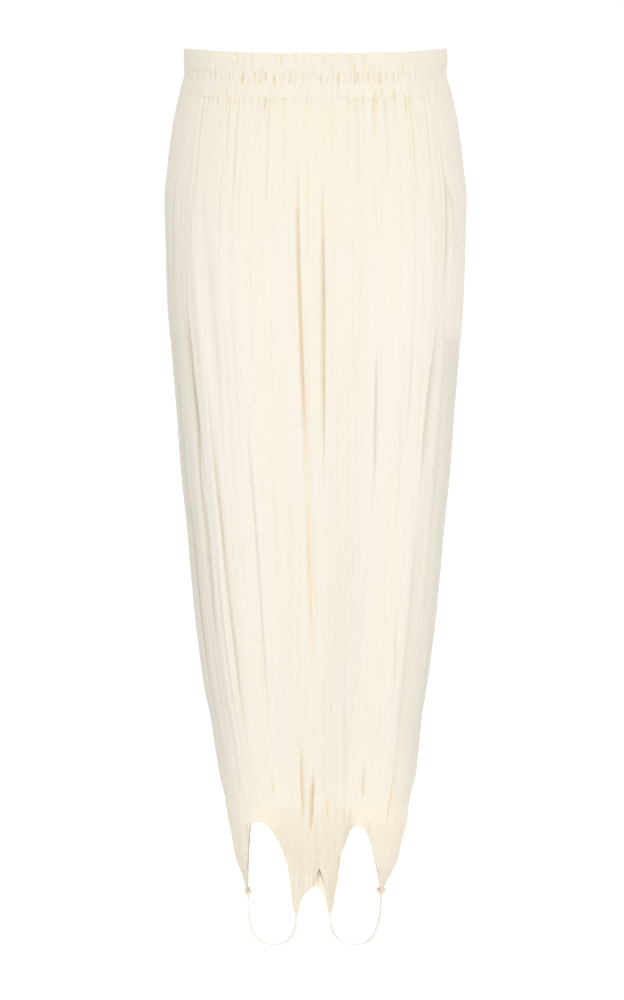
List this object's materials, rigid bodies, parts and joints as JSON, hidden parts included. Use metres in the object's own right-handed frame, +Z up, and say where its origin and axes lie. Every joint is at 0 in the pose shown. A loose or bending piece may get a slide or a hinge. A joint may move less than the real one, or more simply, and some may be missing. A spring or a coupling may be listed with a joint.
{
  "type": "trousers",
  "caption": "Soft low-crotch trousers in their worn shape: an elastic gathered waistband, one wide tapering body, arched foot openings and stirrup straps.",
  "frame": {"origin": "centre of the waist opening, level with its top edge at the hips", "axes": "+Z up out of the waist, -Y towards the front of the trousers, +X towards the wearer's left"},
  "size_m": [0.3528, 0.2659, 1.0566],
  "materials": {
    "jersey": "soft matte cream jersey",
    "strap_elastic": "matte off-white elastic"
  },
  "bodies": {
    "root": {"waistband": "jersey", "leg_front_right": "jersey", "leg_front_left": "jersey", "leg_back_right": "jersey", "leg_back_left": "jersey", "pocket_right": "jersey", "pocket_left": "jersey", "tack_right": "jersey", "tack_left": "jersey", "strap_right": "strap_elastic", "strap_left": "strap_elastic"}
  },
  "joints": []
}
